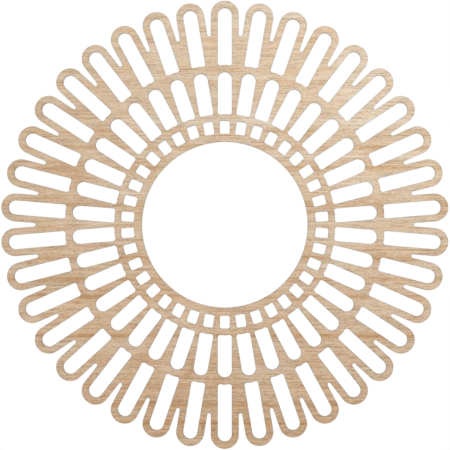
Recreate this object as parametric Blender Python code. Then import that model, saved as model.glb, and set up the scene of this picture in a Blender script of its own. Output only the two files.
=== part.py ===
"""Pierced wooden ceiling medallion, for Blender 4.5.

One flat sheet of pale hardwood, cut right through. A scalloped rim of round-ended petals
surrounds three rings of holes: a long slot in each petal, a shorter slot inside it, and a
small four-sided window inside that. A plain ring is left round the large centre hole,
where the light fixture hangs.

Metres, +Z up. The origin is the centre of the back face, which lies on the ceiling. The
show face looks down, and one petal points along +Y.
"""

import math

import bpy

# The sheet
OUTER_DIAMETER = 0.6096
THICKNESS = 0.00635
CENTRE_HOLE_DIAMETER = 0.2256
PETAL_COUNT = 38

# The wood left between a slot and the next edge, and the round foot of the gap between two petals
RAIL_WIDTH = 0.00953
NOTCH_RADIUS = 0.00238

# The slots, all of one width with a round outer end. A radius here is a distance from the centre
SLOT_WIDTH = 0.01905
INNER_SLOT_TIP_RADIUS = 0.2079
INNER_SLOT_FOOT_RADIUS = 0.1504
SLOT_CORNER_RADIUS = 0.0035

# The wood at the foot of a slot stands up into it in a low curve of this radius
OUTER_SLOT_FOOT_CURVE = 0.0231
INNER_SLOT_FOOT_CURVE = 0.0272

# The small windows, whose two ends follow circles about the centre
WINDOW_WIDTH = 0.0132
WINDOW_OUTER_RADIUS = 0.1415
WINDOW_INNER_RADIUS = 0.1238
WINDOW_CORNER_RADIUS = 0.0022

# How far a straight side may stray from its arc, and the sides of the centre hole beside each petal
ARC_TOLERANCE = 0.0004
CENTRE_SIDES_PER_PETAL = 3

# Pale hardwood
WOOD_COLOUR = (0.624, 0.457, 0.310, 1.0)
WOOD_ROUGHNESS = 0.55

# What follows from them
PETAL_HALF_WIDTH = SLOT_WIDTH / 2 + RAIL_WIDTH
PETAL_CURVE_RADIUS = OUTER_DIAMETER / 2 - PETAL_HALF_WIDTH
OUTER_SLOT_FOOT_RADIUS = INNER_SLOT_TIP_RADIUS + RAIL_WIDTH
PITCH = 2 * math.pi / PETAL_COUNT
QUARTER = math.pi / 2


def clear_scene():
    for obj in list(bpy.data.objects):
        bpy.data.objects.remove(obj, do_unlink=True)


def wood_material():
    material = bpy.data.materials.new("pale_hardwood")
    material.use_nodes = True
    shader = material.node_tree.nodes["Principled BSDF"]
    shader.inputs["Base Color"].default_value = WOOD_COLOUR
    shader.inputs["Roughness"].default_value = WOOD_ROUGHNESS
    shader.inputs["Metallic"].default_value = 0.0
    return material


def arc(centre, radius, start, end):
    """Points from angle start to angle end, near enough together for the tolerance."""
    widest = 2 * math.acos(1 - ARC_TOLERANCE / radius)
    steps = math.ceil(abs(end - start) / widest)
    angles = [start + (end - start) * step / steps for step in range(steps + 1)]
    return [
        (centre[0] + radius * math.cos(angle), centre[1] + radius * math.sin(angle))
        for angle in angles
    ]


# Outlines are drawn on the petal at +Y, as (across, outward) points, and then turned into place


def turned(points, angle):
    cosine, sine = math.cos(angle), math.sin(angle)
    return [(x * cosine - y * sine, x * sine + y * cosine) for x, y in points]


def both_halves(right_half):
    """A whole outline from its right half, which runs upward and may start and end on the axis."""
    left_half = [(-x, y) for x, y in reversed(right_half) if abs(x) > 1e-9]
    return right_half + left_half


def petal_outline():
    """One petal's edge, from the gap on its right to the gap on its left."""
    half_pitch = PITCH / 2
    notch_distance = (PETAL_HALF_WIDTH + NOTCH_RADIUS) / math.sin(half_pitch)
    notch_centre = (notch_distance * math.sin(half_pitch), notch_distance * math.cos(half_pitch))
    # The arc runs from the foot of the gap up to where it meets the petal's straight side
    foot = arc(notch_centre, NOTCH_RADIUS, -QUARTER - half_pitch, -math.pi)
    tip = arc((0.0, PETAL_CURVE_RADIUS), PETAL_HALF_WIDTH, 0.0, QUARTER)
    return both_halves(foot + tip)[:-1]


def foot_corner(half_width, foot_radius, curve, corner):
    """The right half of a hole's inner end: its low curve, then its rounded corner."""
    curve_centre = foot_radius - curve
    across = half_width - corner
    lean = math.asin(across / (curve + corner))
    corner_centre = (across, curve_centre + (curve + corner) * math.cos(lean))
    low_curve = arc((0.0, curve_centre), curve, QUARTER, QUARTER - lean)
    rounding = arc(corner_centre, corner, -QUARTER - lean, 0.0)
    return low_curve[:-1] + rounding


def slot_outline(tip_radius, foot_radius, curve):
    half_width = SLOT_WIDTH / 2
    foot = foot_corner(half_width, foot_radius, curve, SLOT_CORNER_RADIUS)
    tip = arc((0.0, tip_radius - half_width), half_width, 0.0, QUARTER)
    return both_halves(foot + tip)


def window_outline():
    half_width = WINDOW_WIDTH / 2
    foot = foot_corner(half_width, WINDOW_INNER_RADIUS, WINDOW_INNER_RADIUS, WINDOW_CORNER_RADIUS)
    reach = WINDOW_OUTER_RADIUS - WINDOW_CORNER_RADIUS
    lean = math.asin((half_width - WINDOW_CORNER_RADIUS) / reach)
    corner_centre = (reach * math.sin(lean), reach * math.cos(lean))
    corner = arc(corner_centre, WINDOW_CORNER_RADIUS, 0.0, QUARTER - lean)
    return both_halves(foot + corner + [(0.0, WINDOW_OUTER_RADIUS)])


def centre_hole_outline():
    sides = CENTRE_SIDES_PER_PETAL * PETAL_COUNT
    radius = CENTRE_HOLE_DIAMETER / 2
    angles = [QUARTER + 2 * math.pi * side / sides for side in range(sides)]
    return [(radius * math.cos(angle), radius * math.sin(angle)) for angle in angles]


def medallion_outlines():
    """The scalloped rim, and every hole inside it."""
    petal = petal_outline()
    outer_slot = slot_outline(
        OUTER_DIAMETER / 2 - RAIL_WIDTH, OUTER_SLOT_FOOT_RADIUS, OUTER_SLOT_FOOT_CURVE
    )
    inner_slot = slot_outline(
        INNER_SLOT_TIP_RADIUS, INNER_SLOT_FOOT_RADIUS, INNER_SLOT_FOOT_CURVE
    )
    window = window_outline()
    rim = []
    holes = [centre_hole_outline()]
    for index in range(PETAL_COUNT):
        angle = index * PITCH
        rim += turned(petal, angle)
        for hole in (outer_slot, inner_slot, window):
            holes.append(turned(hole, angle))
    return [rim] + holes


def flat_sheet(name, outlines, thickness, material):
    """A sheet of the given thickness, with the first outline as its edge and the others as holes."""
    curve = bpy.data.curves.new(name, "CURVE")
    curve.dimensions = "2D"
    curve.fill_mode = "BOTH"
    curve.extrude = thickness / 2
    for outline in outlines:
        spline = curve.splines.new("POLY")
        spline.points.add(len(outline) - 1)
        for point, (x, y) in zip(spline.points, outline):
            point.co = (x, y, 0.0, 1.0)
        spline.use_cyclic_u = True
    curve.materials.append(material)
    return bpy.data.objects.new(name, curve)


def main():
    clear_scene()
    collection = bpy.data.collections.new("ceiling_medallion")
    bpy.context.scene.collection.children.link(collection)
    medallion = flat_sheet("medallion", medallion_outlines(), THICKNESS, wood_material())
    medallion.location.z = -THICKNESS / 2
    collection.objects.link(medallion)


main()
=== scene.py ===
"""The looks of a pierced wooden ceiling medallion, laid out as a Blender add-on.

The medallion is one flat sheet of pale hardwood. Half of one petal is drawn, mirrored,
turned round the centre, given its thickness, and its cut edges are eased. The wood is
procedural, with the grain along X. The sheet lies under the ceiling, show face down, so
the camera looks straight up at it.
"""

import math

import bpy
from bpy.props import FloatProperty, FloatVectorProperty, IntProperty, PointerProperty
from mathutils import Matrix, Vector


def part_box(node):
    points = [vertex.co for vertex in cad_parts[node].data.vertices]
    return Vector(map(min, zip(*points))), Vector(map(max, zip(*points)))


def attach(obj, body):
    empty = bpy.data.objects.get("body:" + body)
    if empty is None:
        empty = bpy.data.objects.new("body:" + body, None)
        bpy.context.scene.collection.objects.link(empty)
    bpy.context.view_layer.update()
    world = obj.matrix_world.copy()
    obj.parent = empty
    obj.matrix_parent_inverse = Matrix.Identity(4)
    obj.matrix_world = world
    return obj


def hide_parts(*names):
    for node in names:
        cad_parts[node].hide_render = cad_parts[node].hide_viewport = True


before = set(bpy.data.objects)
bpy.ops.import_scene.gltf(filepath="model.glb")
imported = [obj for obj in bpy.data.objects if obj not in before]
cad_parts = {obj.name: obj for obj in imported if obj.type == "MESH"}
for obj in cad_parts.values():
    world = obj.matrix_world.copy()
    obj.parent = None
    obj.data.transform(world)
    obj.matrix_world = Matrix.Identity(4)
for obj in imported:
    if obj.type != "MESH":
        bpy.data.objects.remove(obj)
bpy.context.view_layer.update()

bl_info = {
    "name": "Pierced Ceiling Medallion",
    "version": (1, 0, 0),
    "blender": (4, 5, 0),
    "location": "View3D > Sidebar > Medallion",
    "description": "Makes a pierced wooden ceiling medallion and a plain studio round it",
    "category": "Object",
}

SHEET_NODE = "medallion"
LOW_CORNER, HIGH_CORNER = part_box(SHEET_NODE)

# Points nearer than this are one point
SAME_POINT = 1e-5
# An edge that turns by more than this is a cut edge, and is eased in this many steps
CUT_EDGE_ANGLE = math.radians(60)
EASED_EDGE_STEPS = 2
# An edge that turns by less than this is shaded smooth
SMOOTH_ANGLE = math.radians(35)
QUARTER = math.pi / 2
# Across the small plane that an outline's first point is made from
FIRST_PLANE = 0.01


class MedallionSheetSizes(bpy.types.PropertyGroup):
    """What the sheet is cut to. Distances from the centre are radii."""

    outer_diameter: FloatProperty(
        name="Outer diameter",
        description="Across the tips of two opposite petals",
        default=HIGH_CORNER.y - LOW_CORNER.y,
        unit="LENGTH",
    )
    thickness: FloatProperty(
        name="Thickness",
        description="Of the sheet",
        default=HIGH_CORNER.z - LOW_CORNER.z,
        unit="LENGTH",
    )
    centre_hole_diameter: FloatProperty(
        name="Centre hole",
        description="Across the hole for the light fixture",
        default=0.2256,
        unit="LENGTH",
    )
    petal_count: IntProperty(
        name="Petals",
        description="Round-ended petals round the rim",
        default=38,
    )
    rail_width: FloatProperty(
        name="Rail width",
        description="Wood between a slot and the next edge",
        default=0.00953,
        unit="LENGTH",
    )
    notch_radius: FloatProperty(
        name="Notch radius",
        description="Of the round foot of the gap between two petals",
        default=0.00238,
        unit="LENGTH",
    )
    slot_width: FloatProperty(
        name="Slot width",
        description="Of both rings of slots",
        default=0.01905,
        unit="LENGTH",
    )
    slot_corner: FloatProperty(
        name="Slot corner",
        description="Radius of the two corners at a slot's inner end",
        default=0.0035,
        unit="LENGTH",
    )
    outer_slot_foot_curve: FloatProperty(
        name="Outer slot foot curve",
        description="Radius of the low curve in which the wood stands up into an outer slot",
        default=0.0231,
        unit="LENGTH",
    )
    inner_slot_tip: FloatProperty(
        name="Inner slot tip",
        description="Distance from the centre to the round end of an inner slot",
        default=0.2079,
        unit="LENGTH",
    )
    inner_slot_foot: FloatProperty(
        name="Inner slot foot",
        description="Distance from the centre to the inner end of an inner slot",
        default=0.1504,
        unit="LENGTH",
    )
    inner_slot_foot_curve: FloatProperty(
        name="Inner slot foot curve",
        description="Radius of the low curve in which the wood stands up into an inner slot",
        default=0.0272,
        unit="LENGTH",
    )
    window_width: FloatProperty(
        name="Window width",
        description="Of the small four-sided windows",
        default=0.0132,
        unit="LENGTH",
    )
    window_outer: FloatProperty(
        name="Window outer end",
        description="Distance from the centre",
        default=0.1415,
        unit="LENGTH",
    )
    window_inner: FloatProperty(
        name="Window inner end",
        description="Distance from the centre",
        default=0.1238,
        unit="LENGTH",
    )
    window_corner: FloatProperty(
        name="Window corner",
        description="Radius of a window's corners",
        default=0.0022,
        unit="LENGTH",
    )
    arc_tolerance: FloatProperty(
        name="Arc tolerance",
        description="How far a straight stretch may stray from its arc",
        default=0.00005,
        precision=5,
        unit="LENGTH",
    )
    # The rim gets a slightly darker, greyer tint painted on it
    rim_width: FloatProperty(
        name="Rim width",
        description="Of the wood beside each cut that the cutter has darkened",
        default=0.0030,
        precision=5,
        unit="LENGTH",
    )
    arris: FloatProperty(
        name="Eased edge",
        description="How far the sharp edges are sanded back",
        default=0.0005,
        precision=5,
        unit="LENGTH",
    )


class MedallionWoodLook(bpy.types.PropertyGroup):
    """The colours, grain and finish of the wood, with a painted sheen that pales one corner of the
    board and painted shade on the cut walls. Colours are in linear light.
    """

    pale: FloatVectorProperty(
        name="Pale wood",
        description="Between the grain lines",
        default=(0.668, 0.571, 0.442),
        size=3,
        subtype="COLOR",
    )
    tan: FloatVectorProperty(
        name="Tan wood",
        description="The broad darker bands",
        default=(0.494, 0.254, 0.071),
        size=3,
        subtype="COLOR",
    )
    lightest: FloatVectorProperty(
        name="Lightest fleck",
        description="What the palest flecks make of the colour",
        default=(1.076, 1.105, 1.149),
        size=3,
        subtype="COLOR",
        soft_max=2.0,
    )
    darkest: FloatVectorProperty(
        name="Darkest fleck",
        description="What the darkest flecks leave of the colour",
        default=(0.685, 0.595, 0.485),
        size=3,
        subtype="COLOR",
    )
    # The corner colours are partly the board's own tone and partly a painted sheen, strongest at the
    # palest corner
    palest_corner_with_sheen: FloatVectorProperty(
        name="Palest corner",
        description="What the board's paler side makes of the colour",
        default=(1.064, 1.105, 1.154),
        size=3,
        subtype="COLOR",
        soft_max=2.0,
    )
    # The darkest corner has the board's darker tone and the least painted sheen
    darkest_corner_with_least_sheen: FloatVectorProperty(
        name="Darkest corner",
        description="What the board's darker side leaves of the colour",
        default=(0.725, 0.595, 0.475),
        size=3,
        subtype="COLOR",
    )
    late_growth: FloatVectorProperty(
        name="Late growth",
        description="What the thin dark lines of late growth leave of the colour",
        default=(0.795, 0.73, 0.645),
        size=3,
        subtype="COLOR",
    )
    mark: FloatVectorProperty(
        name="Mark",
        description="What the middle of a small mark in the grain leaves of the colour",
        default=(0.73, 0.50, 0.29),
        size=3,
        subtype="COLOR",
    )
    # A slightly darker, greyer tint painted on the narrow rim beside each cut
    rim_tint: FloatVectorProperty(
        name="Burnished edge",
        description="What the cutter leaves of the colour beside a cut",
        default=(0.89, 0.975, 1.09),
        size=3,
        subtype="COLOR",
    )
    # The wall colours are partly the darker colour of cut wood and partly painted shade on the walls
    side_grain_wall_and_shade: FloatVectorProperty(
        name="Side grain",
        description="What the cutter leaves of the colour on a wall along the grain",
        default=(0.77, 0.70, 0.65),
        size=3,
        subtype="COLOR",
    )
    # End grain is darker than side grain, with the same painted shade on top
    end_grain_wall_and_shade: FloatVectorProperty(
        name="End grain",
        description="What the cutter leaves of the colour on a wall across the grain",
        default=(0.69, 0.62, 0.57),
        size=3,
        subtype="COLOR",
    )
    roughness: FloatProperty(
        name="Roughness",
        description="Of the sanded face",
        default=0.5,
        subtype="FACTOR",
    )
    ring_slant: FloatProperty(
        name="Ring slant",
        description="How far the year rings lean in each metre of the board's thickness",
        default=0.5,
    )
    # The slopes below are partly the board's own tone and partly a painted sheen, paler towards -Y
    # and +X
    darker_along_y: FloatProperty(
        name="Darker along Y",
        description="How much darker the board grows in each metre",
        default=1.05,
    )
    darker_along_x: FloatProperty(
        name="Darker along X",
        description="How much darker the board grows in each metre",
        default=-0.50,
    )
    darker_at_corners: FloatProperty(
        name="Darker at two corners",
        description="How much darker, in each square metre, where X and Y have the same sign",
        default=2.4,
    )
    livelier_along_y: FloatProperty(
        name="Livelier along Y",
        description="How much stronger the flecks and thin lines grow in each metre",
        default=0.8,
    )


class MedallionStudio(bpy.types.PropertyGroup):
    """The camera, floor and lights."""

    camera_distance: FloatProperty(
        name="Camera distance",
        description="From the show face to the camera",
        default=1.549,
        unit="LENGTH",
    )
    view_width: FloatProperty(
        name="View width",
        description="What the camera sees across at the show face",
        default=0.6115,
        unit="LENGTH",
    )
    aim_aside: FloatVectorProperty(
        name="Aim",
        description="How far the camera stands off the medallion's axis",
        default=(0.00029, 0.00034),
        size=2,
        precision=5,
        unit="LENGTH",
    )
    floor_depth: FloatProperty(
        name="Floor depth",
        description="From the ceiling to the floor",
        default=2.6,
        unit="LENGTH",
    )
    floor_radius: FloatProperty(
        name="Floor radius",
        description="Far enough for the floor to run out to the horizon",
        default=300.0,
        unit="LENGTH",
    )
    surround: FloatProperty(
        name="Surround light",
        description="Strength of the even white light all round",
        default=1.0,
    )


# Drawing half a petal: a point is pulled along straight stretches and spun round arcs


class Pencil:
    """Draws an outline in edit mode from one point, on the plane z = 0."""

    def __init__(self, name, start, tolerance):
        bpy.ops.object.select_all(action="DESELECT")
        bpy.ops.mesh.primitive_plane_add(size=FIRST_PLANE, location=(0.0, 0.0, 0.0))
        bpy.context.object.name = name
        bpy.ops.object.mode_set(mode="EDIT")
        bpy.ops.mesh.select_mode(type="VERT")
        bpy.ops.mesh.select_all(action="SELECT")
        bpy.ops.mesh.merge(type="CENTER")
        bpy.ops.transform.translate(value=(start[0], start[1], 0.0))
        self.at = Vector(start)
        self.tolerance = tolerance

    def line_to(self, x, y):
        step = Vector((x, y)) - self.at
        bpy.ops.mesh.extrude_region_move(TRANSFORM_OT_translate={"value": (step.x, step.y, 0.0)})
        self.at = Vector((x, y))

    def turn_about(self, x, y, sweep):
        """An arc about a centre, counter-clockwise for a positive sweep."""
        arm = self.at - Vector((x, y))
        widest = 2 * math.acos(1 - self.tolerance / arm.length)
        steps = math.ceil(abs(sweep) / widest)
        # Spin counts its angle clockwise
        bpy.ops.mesh.spin(steps=steps, angle=-sweep, center=(x, y, 0.0), axis=(0.0, 0.0, 1.0))
        cosine, sine = math.cos(sweep), math.sin(sweep)
        turned = Vector((arm.x * cosine - arm.y * sine, arm.x * sine + arm.y * cosine))
        self.at = Vector((x, y)) + turned

    def close(self):
        """Joins the last point to the first and fills the outline."""
        bpy.ops.mesh.select_all(action="SELECT")
        bpy.ops.mesh.remove_doubles(threshold=SAME_POINT)
        bpy.ops.mesh.edge_face_add()
        bpy.ops.object.mode_set(mode="OBJECT")


def draw_hole_foot(pencil, half_width, foot, curve, corner):
    """From the axis, round a hole's inner end, to the start of its straight side."""
    curve_centre = foot - curve
    across = half_width - corner
    lean = math.asin(across / (curve + corner))
    corner_height = curve_centre + (curve + corner) * math.cos(lean)
    pencil.line_to(0.0, foot)
    pencil.turn_about(0.0, curve_centre, -lean)
    pencil.turn_about(across, corner_height, QUARTER + lean)


def draw_slot(pencil, sizes, foot, curve, tip):
    half_width = sizes.slot_width / 2
    draw_hole_foot(pencil, half_width, foot, curve, sizes.slot_corner)
    pencil.line_to(half_width, tip - half_width)
    pencil.turn_about(0.0, tip - half_width, QUARTER)


def draw_window(pencil, sizes):
    half_width = sizes.window_width / 2
    corner = sizes.window_corner
    draw_hole_foot(pencil, half_width, sizes.window_inner, sizes.window_inner, corner)
    reach = sizes.window_outer - corner
    lean = math.asin((half_width - corner) / reach)
    corner_centre = (reach * math.sin(lean), reach * math.cos(lean))
    pencil.line_to(half_width, corner_centre[1])
    pencil.turn_about(*corner_centre, QUARTER - lean)
    pencil.turn_about(0.0, 0.0, lean)


def draw_half_petal(sizes):
    """From the centre hole out along the petal's axis, round the rim, and back along the gap."""
    half_pitch = math.pi / sizes.petal_count
    hole_radius = sizes.centre_hole_diameter / 2
    tip = sizes.outer_diameter / 2
    half_width = sizes.slot_width / 2 + sizes.rail_width
    notch = sizes.notch_radius
    notch_height = (half_width + notch) / math.tan(half_pitch)

    pencil = Pencil("medallion_sheet", (0.0, hole_radius), sizes.arc_tolerance)
    draw_window(pencil, sizes)
    draw_slot(
        pencil, sizes, sizes.inner_slot_foot, sizes.inner_slot_foot_curve, sizes.inner_slot_tip
    )
    outer_slot_foot = sizes.inner_slot_tip + sizes.rail_width
    draw_slot(
        pencil, sizes, outer_slot_foot, sizes.outer_slot_foot_curve, tip - sizes.rail_width
    )
    pencil.line_to(0.0, tip)
    pencil.turn_about(0.0, tip - half_width, -QUARTER)
    pencil.line_to(half_width, notch_height)
    pencil.turn_about(half_width + notch, notch_height, QUARTER - half_pitch)
    pencil.line_to(hole_radius * math.sin(half_pitch), hole_radius * math.cos(half_pitch))
    pencil.turn_about(0.0, 0.0, half_pitch)
    pencil.close()
    return bpy.context.object


# Making the whole sheet from that half petal


def apply_modifier(piece, name):
    bpy.context.view_layer.objects.active = piece
    bpy.ops.object.modifier_apply(modifier=name)


def mirror_half_petal(piece):
    mirror = piece.modifiers.new("other_half", "MIRROR")
    mirror.use_axis[0] = True
    mirror.use_mirror_merge = True
    mirror.merge_threshold = SAME_POINT
    apply_modifier(piece, mirror.name)


def turn_petals_round(petal_count):
    """Copies the petal round the centre, and joins each to its neighbours."""
    bpy.ops.object.mode_set(mode="EDIT")
    bpy.ops.mesh.select_all(action="SELECT")
    copies = petal_count - 1
    bpy.ops.mesh.spin(
        steps=copies,
        dupli=True,
        angle=2 * math.pi * copies / petal_count,
        center=(0.0, 0.0, 0.0),
        axis=(0.0, 0.0, 1.0),
    )
    bpy.ops.mesh.select_all(action="SELECT")
    bpy.ops.mesh.remove_doubles(threshold=SAME_POINT)
    bpy.ops.mesh.select_mode(type="FACE")
    bpy.ops.mesh.select_all(action="SELECT")


def mark_rim(piece, rim_width):
    """Insets a narrow rim beside every cut, and marks it with 1 in the attribute rim."""
    bpy.ops.mesh.inset(thickness=rim_width, use_boundary=True, use_even_offset=True)
    bpy.ops.object.mode_set(mode="OBJECT")
    mesh = piece.data
    inside = {index for face in mesh.polygons if face.select for index in face.vertices}
    rim = mesh.attributes.new("rim", "FLOAT", "POINT")
    rim.data.foreach_set("value", [float(i not in inside) for i in range(len(mesh.vertices))])


def thicken(piece, thickness):
    """The flat sheet lies on the ceiling plane, and grows down from it."""
    wall = piece.modifiers.new("thickness", "SOLIDIFY")
    wall.thickness = thickness
    wall.offset = -1.0
    apply_modifier(piece, wall.name)


def ease_edges(piece, arris):
    bevel = piece.modifiers.new("eased_edges", "BEVEL")
    bevel.width = arris
    bevel.segments = EASED_EDGE_STEPS
    bevel.limit_method = "ANGLE"
    bevel.angle_limit = CUT_EDGE_ANGLE
    bevel.harden_normals = True
    apply_modifier(piece, bevel.name)


def make_sheet(sizes):
    piece = draw_half_petal(sizes)
    mirror_half_petal(piece)
    turn_petals_round(sizes.petal_count)
    mark_rim(piece, sizes.rim_width)
    thicken(piece, sizes.thickness)
    bpy.ops.object.shade_smooth_by_angle(angle=SMOOTH_ANGLE)
    ease_edges(piece, sizes.arris)
    return piece


# The wood. Each kind of streak has its length along the grain, its width across it and its
# depth into the board, in metres, and a number that gives it a pattern of its own

SLOW_WAVER = (1.2, 0.20, 0.20, 0.3)
YEAR_STRENGTH = (0.60, 0.020, 0.10, 2.6)
GROWTH_LINE = (1.2, 0.0080, 0.040, 3.7)
FINE_LINE = (1.2, 0.0013, 0.020, 4.4)
LATE_LINE = (0.036, 0.0017, 0.010, 5.3)
LATE_CLUSTER = (0.10, 0.0150, 0.030, 6.6)
FIBRE = (0.020, 0.0014, 0.0014, 7.4)
DASH = (0.0034, 0.0010, 0.0010, 8.7)
HAIR = (0.0120, 0.0004, 0.0004, 15.2)
PATCH = (0.040, 0.045, 0.020, 9.4)
PORE = (0.030, 0.0014, 0.0014, 10.6)
HUE_CLOUD = (0.15, 0.070, 0.040, 11.3)
HUE_PATCH = (0.030, 0.0100, 0.010, 12.7)
HUE_FLECK = (0.0060, 0.0018, 0.0018, 13.4)
ROSY_FLECK = (0.0070, 0.0040, 0.0040, 14.8)

# How far the waver bends the grain, in metres, and how much each of the others sways the
# colour, the hue or the roughness
WAVER_REACH = 0.005
YEAR_SWAY = 0.30
GROWTH_SWAY = 0.41
PATCH_SWAY = 0.37
FINE_SWAY = 1.10
FIBRE_SWAY = 1.46
DASH_SWAY = 1.66
HAIR_SWAY = 0.75
HUE_CLOUD_SWAY = 0.5
HUE_PATCH_SWAY = 0.7
HUE_FLECK_SWAY = 1.7
FIBRE_ROUGHNESS = 0.20

# Where each pattern starts from nothing, and where it has its full strength
YEAR_STRENGTH_LIMITS = (0.1, 0.7)
TONE_LIMITS = (-0.4, 0.6)
FLECK_LIMITS = (-0.35, 0.65)
LATE_LINE_LIMITS = (0.51, 0.71)
LATE_CLUSTER_LIMITS = (0.43, 0.66)
PORE_LIMITS = (0.56, 0.76)
PIT_LIMITS = (0.54, 0.72)
HUE_LIMITS = (-0.5, 0.5)
ROSY_LIMITS = (0.3, 0.7)

# The same for the rim beside a cut, for end grain by how far a wall faces along the grain, and
# for the two flat faces by how far they face up or down
RIM_LIMITS = (0.0, 0.6)
END_GRAIN_LIMITS = (0.3, 1.0)
FLAT_FACE_LIMITS = (0.3, 0.9)

# What a pore adds to the stain and to the roughness, how deep it is beside the fibres, and the
# relief's strength and its height in metres
PORE_STAIN = 0.5
PIT_ROUGHNESS = 0.15
PIT_DEPTH = 0.6
RELIEF_STRENGTH = 0.25
RELIEF_HEIGHT = 0.0002

# What the small shifts of hue make of the colour
WHITE = (1.0, 1.0, 1.0)
YELLOWER = (1.05, 1.0, 0.955)
GREYER = (0.95, 1.0, 1.045)
GREENER = (0.983, 1.017, 0.985)
ROSIER = (1.017, 0.983, 1.015)

# At its centre the board's tone and painted sheen are half way between the palest and the darkest
# corner
HALF_WAY = 0.5

# The dark line that ends each year's growth: how far it lies from the medallion's centre line,
# in metres, and how strong it is. Some years end without one.
YEAR_LINES = (
    (-0.278, 0.2),
    (-0.253, 0.3),
    (-0.197, 0.6),
    (-0.165, 0.3),
    (-0.129, 0.5),
    (-0.106, 1.2),
    (-0.088, 0.7),
    (-0.080, 1.1),
    (-0.028, 0.7),
    (0.042, 0.9),
    (0.072, 0.9),
    (0.095, 0.9),
    (0.122, 0.5),
    (0.150, 1.0),
    (0.184, 0.4),
    (0.218, 0.5),
    (0.243, 1.3),
    (0.267, 1.0),
)
# It comes on slowly on one side and stops sharply on the other
YEAR_LINE_ONSET = 0.0085
YEAR_LINE_STOP = 0.0026

# The small marks that break the grain here and there: how far each lies from the medallion's
# centre along X and Y, half its length, half its width, in metres, and how strong it is
MARKS = (
    (-0.250, 0.094, 0.0110, 0.0035, 0.8),
    (-0.201, -0.072, 0.0055, 0.0018, 0.8),
    (-0.200, 0.106, 0.0060, 0.0025, 1.0),
    (-0.175, -0.032, 0.0035, 0.0020, 0.9),
    (-0.030, 0.275, 0.0045, 0.0065, 0.8),
)

# The sockets for colours on Blender's Mix node
MIX_FIRST = 6
MIX_SECOND = 7
MIX_RESULT = 2


def opaque(colour):
    """A colour with the fourth value that a colour socket takes."""
    return (*colour, 1.0)


class GrainNodes:
    """Adds nodes to one material, in the steps that lay a grain."""

    def __init__(self, tree):
        self.tree = tree

    def add(self, kind, inputs, **settings):
        """A node with its settings and inputs. An input is a value, or the socket that feeds it."""
        node = self.tree.nodes.new(kind)
        for name, value in settings.items():
            setattr(node, name, value)
        for key, value in inputs.items():
            if isinstance(value, bpy.types.NodeSocket):
                self.tree.links.new(value, node.inputs[key])
            else:
                node.inputs[key].default_value = value
        return node

    def maths(self, kind, first, second=0.0, third=0.0):
        inputs = {0: first, 1: second, 2: third}
        return self.add("ShaderNodeMath", inputs, operation=kind).outputs[0]

    def add_all(self, first, *others):
        for other in others:
            first = self.maths("ADD", first, other)
        return first

    def streaks(self, place, kind):
        """Noise round a half, drawn out along the grain."""
        length, width, depth, pattern = kind
        scaled = self.add(
            "ShaderNodeMapping", {"Vector": place, "Scale": (1 / length, 1 / width, 1 / depth)}
        )
        inputs = {
            "Vector": scaled.outputs[0],
            "W": pattern,
            "Scale": 1.0,
            "Detail": 1.0,
            "Roughness": 0.5,
        }
        noise = self.add("ShaderNodeTexNoise", inputs, noise_dimensions="4D")
        return noise.outputs["Fac"]

    def swing(self, value, reach):
        """A value round a half made one round nothing, with this reach."""
        return self.maths("MULTIPLY_ADD", value, reach, -reach / 2)

    def fade(self, value, low, high, most=1.0):
        """Nothing at low, going softly to the most at high."""
        inputs = {"Value": value, "From Min": low, "From Max": high, "To Max": most}
        made = self.add("ShaderNodeMapRange", inputs, interpolation_type="SMOOTHSTEP")
        return made.outputs["Result"]

    def mix(self, share, first, second, blend="MIX"):
        inputs = {"Factor": share, MIX_FIRST: first, MIX_SECOND: second}
        made = self.add("ShaderNodeMix", inputs, data_type="RGBA", blend_type=blend)
        return made.outputs[MIX_RESULT]

    def tint(self, colour, share, low, high):
        """The colour times low where the share is nothing, going to times high where it is whole."""
        return self.mix(1.0, colour, self.mix(share, opaque(low), opaque(high)), "MULTIPLY")

    def feed(self, shader, name, socket):
        self.tree.links.new(socket, shader.inputs[name])


def lay_years(nodes, board, aside):
    """The dark lines of the years, each stronger here and fainter there."""
    dark = 0.0
    for place, strength in YEAR_LINES:
        past = nodes.maths("SUBTRACT", aside, place)
        onset = nodes.fade(past, -YEAR_LINE_ONSET, 0.0, strength)
        line = nodes.maths("MULTIPLY", onset, nodes.fade(past, YEAR_LINE_STOP, 0.0))
        dark = nodes.maths("ADD", dark, line)
    strong = nodes.fade(nodes.streaks(board, YEAR_STRENGTH), *YEAR_STRENGTH_LIMITS)
    return nodes.maths("MULTIPLY", dark, strong)


def grain_colour(nodes, place, board, aside, look):
    """From pale to tan: the years' lines, broad bands between them, and cloudy patches."""
    tone = nodes.add_all(
        nodes.maths("MULTIPLY", lay_years(nodes, board, aside), YEAR_SWAY),
        nodes.swing(nodes.streaks(board, GROWTH_LINE), GROWTH_SWAY),
        nodes.swing(nodes.streaks(place, PATCH), PATCH_SWAY),
    )
    tone = nodes.fade(tone, *TONE_LIMITS)
    return nodes.mix(tone, opaque(look.pale), opaque(look.tan))


def paint_board_tone_and_sheen(nodes, colour, x, y, look):
    """The board is paler towards one corner, partly by its own tone and partly by a painted sheen.
    """
    slope = nodes.add_all(
        nodes.maths("MULTIPLY_ADD", y, look.darker_along_y, HALF_WAY),
        nodes.maths("MULTIPLY", x, look.darker_along_x),
        nodes.maths("MULTIPLY", nodes.maths("MULTIPLY", x, y), look.darker_at_corners),
    )
    return nodes.tint(colour, slope, look.palest_corner_with_sheen, look.darkest_corner_with_least_sheen)


def lay_flecks(nodes, colour, board, fibres, lively, look):
    """Fine lines that run right across, and short flecks, down to the width of a hair."""
    flecks = nodes.add_all(
        nodes.swing(nodes.streaks(board, FINE_LINE), FINE_SWAY),
        nodes.swing(fibres, FIBRE_SWAY),
        nodes.swing(nodes.streaks(board, DASH), DASH_SWAY),
        nodes.swing(nodes.streaks(board, HAIR), HAIR_SWAY),
    )
    flecks = nodes.fade(nodes.maths("MULTIPLY", flecks, lively), *FLECK_LIMITS)
    return nodes.tint(colour, flecks, look.lightest, look.darkest)


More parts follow.
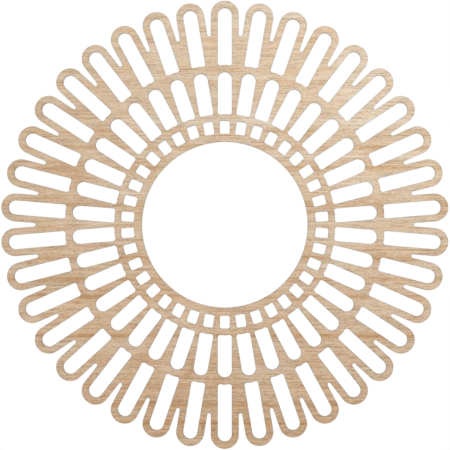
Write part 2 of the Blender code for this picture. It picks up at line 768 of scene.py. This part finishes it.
def lay_late_growth(nodes, colour, board, pores, lively, look):
    """Late growth stands in thin dark lines that come in clusters, and the pores are dark."""
    lines = nodes.fade(nodes.streaks(board, LATE_LINE), *LATE_LINE_LIMITS)
    clusters = nodes.fade(nodes.streaks(board, LATE_CLUSTER), *LATE_CLUSTER_LIMITS)
    dark = nodes.maths("MULTIPLY", nodes.maths("MULTIPLY", lines, clusters), lively)
    dark = nodes.maths("MAXIMUM", dark, nodes.fade(pores, *PORE_LIMITS, PORE_STAIN))
    return nodes.tint(colour, dark, WHITE, look.late_growth)


def lay_marks(nodes, colour, x, y, look):
    """Soft-edged spots, strongest in the middle."""
    dark = 0.0
    for place_x, place_y, length, width, strength in MARKS:
        along = nodes.maths("DIVIDE", nodes.maths("SUBTRACT", x, place_x), length)
        across = nodes.maths("DIVIDE", nodes.maths("SUBTRACT", y, place_y), width)
        from_middle = nodes.add("ShaderNodeCombineXYZ", {"X": along, "Y": across}).outputs[0]
        away = nodes.add("ShaderNodeVectorMath", {0: from_middle}, operation="LENGTH")
        spot = nodes.fade(away.outputs["Value"], 1.0, 0.0, strength)
        dark = nodes.maths("MAXIMUM", dark, spot)
    return nodes.tint(colour, dark, WHITE, look.mark)


def shift_hue(nodes, colour, place, board):
    """Some patches are yellower and some greyer, and some flecks are rosier than others."""
    hue = nodes.add_all(
        nodes.swing(nodes.streaks(place, HUE_CLOUD), HUE_CLOUD_SWAY),
        nodes.swing(nodes.streaks(board, HUE_PATCH), HUE_PATCH_SWAY),
        nodes.swing(nodes.streaks(board, HUE_FLECK), HUE_FLECK_SWAY),
    )
    colour = nodes.tint(colour, nodes.fade(hue, *HUE_LIMITS), YELLOWER, GREYER)
    rosy = nodes.fade(nodes.streaks(board, ROSY_FLECK), *ROSY_LIMITS)
    return nodes.tint(colour, rosy, GREENER, ROSIER)


def tint_rims_and_shade_walls(nodes, colour, look):
    """A slightly greyer tint is painted on a narrow rim beside each cut. The walls are darker,
    partly as cut wood, most where it was cut across the grain, and partly by painted shade.
    """
    rim = nodes.add("ShaderNodeAttribute", {}, attribute_name="rim").outputs["Fac"]
    rim = nodes.fade(rim, *RIM_LIMITS)
    # A greyer tint painted on the rim
    face = nodes.mix(rim, colour, opaque(look.rim_tint), "MULTIPLY")
    normal = nodes.add("ShaderNodeTexCoord", {}).outputs["Normal"]
    facing = nodes.add("ShaderNodeSeparateXYZ", {0: normal}).outputs
    end = nodes.fade(nodes.maths("ABSOLUTE", facing["X"]), *END_GRAIN_LIMITS)
    # The walls: the darker colour of cut wood, most on end grain, with painted shade
    wall = nodes.tint(colour, end, look.side_grain_wall_and_shade, look.end_grain_wall_and_shade)
    flat = nodes.fade(nodes.maths("ABSOLUTE", facing["Z"]), *FLAT_FACE_LIMITS)
    return nodes.mix(flat, wall, face)


def sand_surface(nodes, shader, fibres, pores, look):
    """The roughness and a slight relief follow the fibres and the pores."""
    roughness = nodes.add_all(
        nodes.swing(fibres, FIBRE_ROUGHNESS),
        look.roughness,
        nodes.fade(pores, *PIT_LIMITS, PIT_ROUGHNESS),
    )
    nodes.feed(shader, "Roughness", roughness)
    inputs = {
        "Strength": RELIEF_STRENGTH,
        "Distance": RELIEF_HEIGHT,
        "Height": nodes.maths("SUBTRACT", fibres, nodes.fade(pores, *PIT_LIMITS, PIT_DEPTH)),
    }
    nodes.feed(shader, "Normal", nodes.add("ShaderNodeBump", inputs).outputs[0])


def wood_material(look):
    material = bpy.data.materials.new("pale_straight_grained_hardwood")
    material.use_nodes = True
    nodes = GrainNodes(material.node_tree)
    shader = material.node_tree.nodes["Principled BSDF"]

    place = nodes.add("ShaderNodeTexCoord", {}).outputs["Object"]
    x, y, z = nodes.add("ShaderNodeSeparateXYZ", {0: place}).outputs
    # The year rings stand aslant in the board, and waver a little along it
    waver = nodes.swing(nodes.streaks(place, SLOW_WAVER), WAVER_REACH)
    aside = nodes.add_all(y, waver, nodes.maths("MULTIPLY", z, look.ring_slant))
    board = nodes.add("ShaderNodeCombineXYZ", {"X": x, "Y": aside, "Z": z}).outputs[0]

    lively = nodes.maths("MULTIPLY_ADD", y, look.livelier_along_y, 1.0)
    fibres = nodes.streaks(board, FIBRE)
    pores = nodes.streaks(board, PORE)

    colour = grain_colour(nodes, place, board, aside, look)
    # The board's tone and a painted sheen, both paler towards -Y and +X
    colour = paint_board_tone_and_sheen(nodes, colour, x, y, look)
    colour = lay_flecks(nodes, colour, board, fibres, lively, look)
    colour = lay_late_growth(nodes, colour, board, pores, lively, look)
    colour = lay_marks(nodes, colour, x, y, look)
    colour = shift_hue(nodes, colour, place, board)
    # A greyer rim beside each cut, and painted shade on the walls
    colour = tint_rims_and_shade_walls(nodes, colour, look)
    nodes.feed(shader, "Base Color", colour)
    sand_surface(nodes, shader, fibres, pores, look)
    return material


class MEDALLION_OT_cut_sheet(bpy.types.Operator):
    """Draw, turn round, thicken and finish the pierced sheet"""

    bl_idname = "medallion.cut_sheet"
    bl_label = "Cut Sheet"

    def execute(self, context):
        scene = context.scene
        piece = make_sheet(scene.medallion_sheet)
        piece.data.materials.clear()
        piece.data.materials.append(wood_material(scene.medallion_wood))
        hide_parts(SHEET_NODE)
        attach(piece, "root")
        return {"FINISHED"}


# The stage

FLOOR_COLOUR = (0.93, 0.93, 0.93)
FLOOR_ROUGHNESS = 0.9
FLOOR_SIDES = 96

# Each soft light's place and its width across, in metres, and its power in watts
SOFT_LIGHTS = {
    "soft_front": ((0.2, -0.4, -2.3), 1.2, 12.5),
    "soft_back": ((-1.2, -1.6, 1.8), 1.2, 30.0),
}

# A camera that is turned right over looks straight up
LOOKING_UP = (math.pi, 0.0, 0.0)


def add_floor(depth, radius):
    bpy.ops.object.select_all(action="DESELECT")
    bpy.ops.mesh.primitive_circle_add(
        vertices=FLOOR_SIDES, radius=radius, fill_type="NGON", location=(0.0, 0.0, -depth)
    )
    floor = bpy.context.object
    floor.name = "floor"
    material = bpy.data.materials.new("pale_floor")
    material.use_nodes = True
    shader = material.node_tree.nodes["Principled BSDF"]
    shader.inputs["Base Color"].default_value = opaque(FLOOR_COLOUR)
    shader.inputs["Roughness"].default_value = FLOOR_ROUGHNESS
    floor.data.materials.append(material)


def add_surround(strength):
    """The same white light from all round."""
    world = bpy.data.worlds.new("even_white")
    world.use_nodes = True
    sky = world.node_tree.nodes["Background"]
    sky.inputs["Color"].default_value = opaque(WHITE)
    sky.inputs["Strength"].default_value = strength
    bpy.context.scene.world = world


def add_soft_light(name, place, width, power):
    """A round light that faces the centre of the medallion's back, and isn't seen itself."""
    data = bpy.data.lights.new(name, "AREA")
    data.shape = "DISK"
    data.size = width
    data.energy = power
    lamp = bpy.data.objects.new(name, data)
    bpy.context.scene.collection.objects.link(lamp)
    lamp.location = place
    lamp.rotation_euler = (-Vector(place)).to_track_quat("-Z", "Y").to_euler()
    lamp.visible_camera = False


def add_camera(studio):
    data = bpy.data.cameras.new("camera")
    data.lens = data.sensor_width * studio.camera_distance / studio.view_width
    camera = bpy.data.objects.new("camera", data)
    bpy.context.scene.collection.objects.link(camera)
    show_face = LOW_CORNER.z
    aside = studio.aim_aside
    camera.location = (aside[0], aside[1], show_face - studio.camera_distance)
    camera.rotation_euler = LOOKING_UP
    bpy.context.scene.camera = camera


class MEDALLION_OT_set_stage(bpy.types.Operator):
    """Add the floor, the even surround, the soft lights and the camera"""

    bl_idname = "medallion.set_stage"
    bl_label = "Set Stage"

    def execute(self, context):
        studio = context.scene.medallion_studio
        add_floor(studio.floor_depth, studio.floor_radius)
        add_surround(studio.surround)
        for name, light in SOFT_LIGHTS.items():
            add_soft_light(name, *light)
        add_camera(studio)
        context.scene.view_settings.view_transform = "Standard"
        return {"FINISHED"}


class MEDALLION_PT_sidebar(bpy.types.Panel):
    """The medallion's operators and settings"""

    bl_label = "Ceiling Medallion"
    bl_idname = "MEDALLION_PT_sidebar"
    bl_space_type = "VIEW_3D"
    bl_region_type = "UI"
    bl_category = "Medallion"

    def draw(self, context):
        scene = context.scene
        for title, group, operator in (
            ("Sheet", scene.medallion_sheet, MEDALLION_OT_cut_sheet.bl_idname),
            ("Wood", scene.medallion_wood, None),
            ("Studio", scene.medallion_studio, MEDALLION_OT_set_stage.bl_idname),
        ):
            box = self.layout.box()
            box.label(text=title)
            for name in group.__annotations__:
                box.prop(group, name)
            if operator:
                box.operator(operator)


CLASSES = (
    MedallionSheetSizes,
    MedallionWoodLook,
    MedallionStudio,
    MEDALLION_OT_cut_sheet,
    MEDALLION_OT_set_stage,
    MEDALLION_PT_sidebar,
)


def register():
    for cls in CLASSES:
        bpy.utils.register_class(cls)
    bpy.types.Scene.medallion_sheet = PointerProperty(type=MedallionSheetSizes)
    bpy.types.Scene.medallion_wood = PointerProperty(type=MedallionWoodLook)
    bpy.types.Scene.medallion_studio = PointerProperty(type=MedallionStudio)


def unregister():
    del bpy.types.Scene.medallion_studio
    del bpy.types.Scene.medallion_wood
    del bpy.types.Scene.medallion_sheet
    for cls in reversed(CLASSES):
        bpy.utils.unregister_class(cls)


def main():
    register()
    bpy.ops.medallion.cut_sheet()
    bpy.ops.medallion.set_stage()


if __name__ == "__main__":
    main()
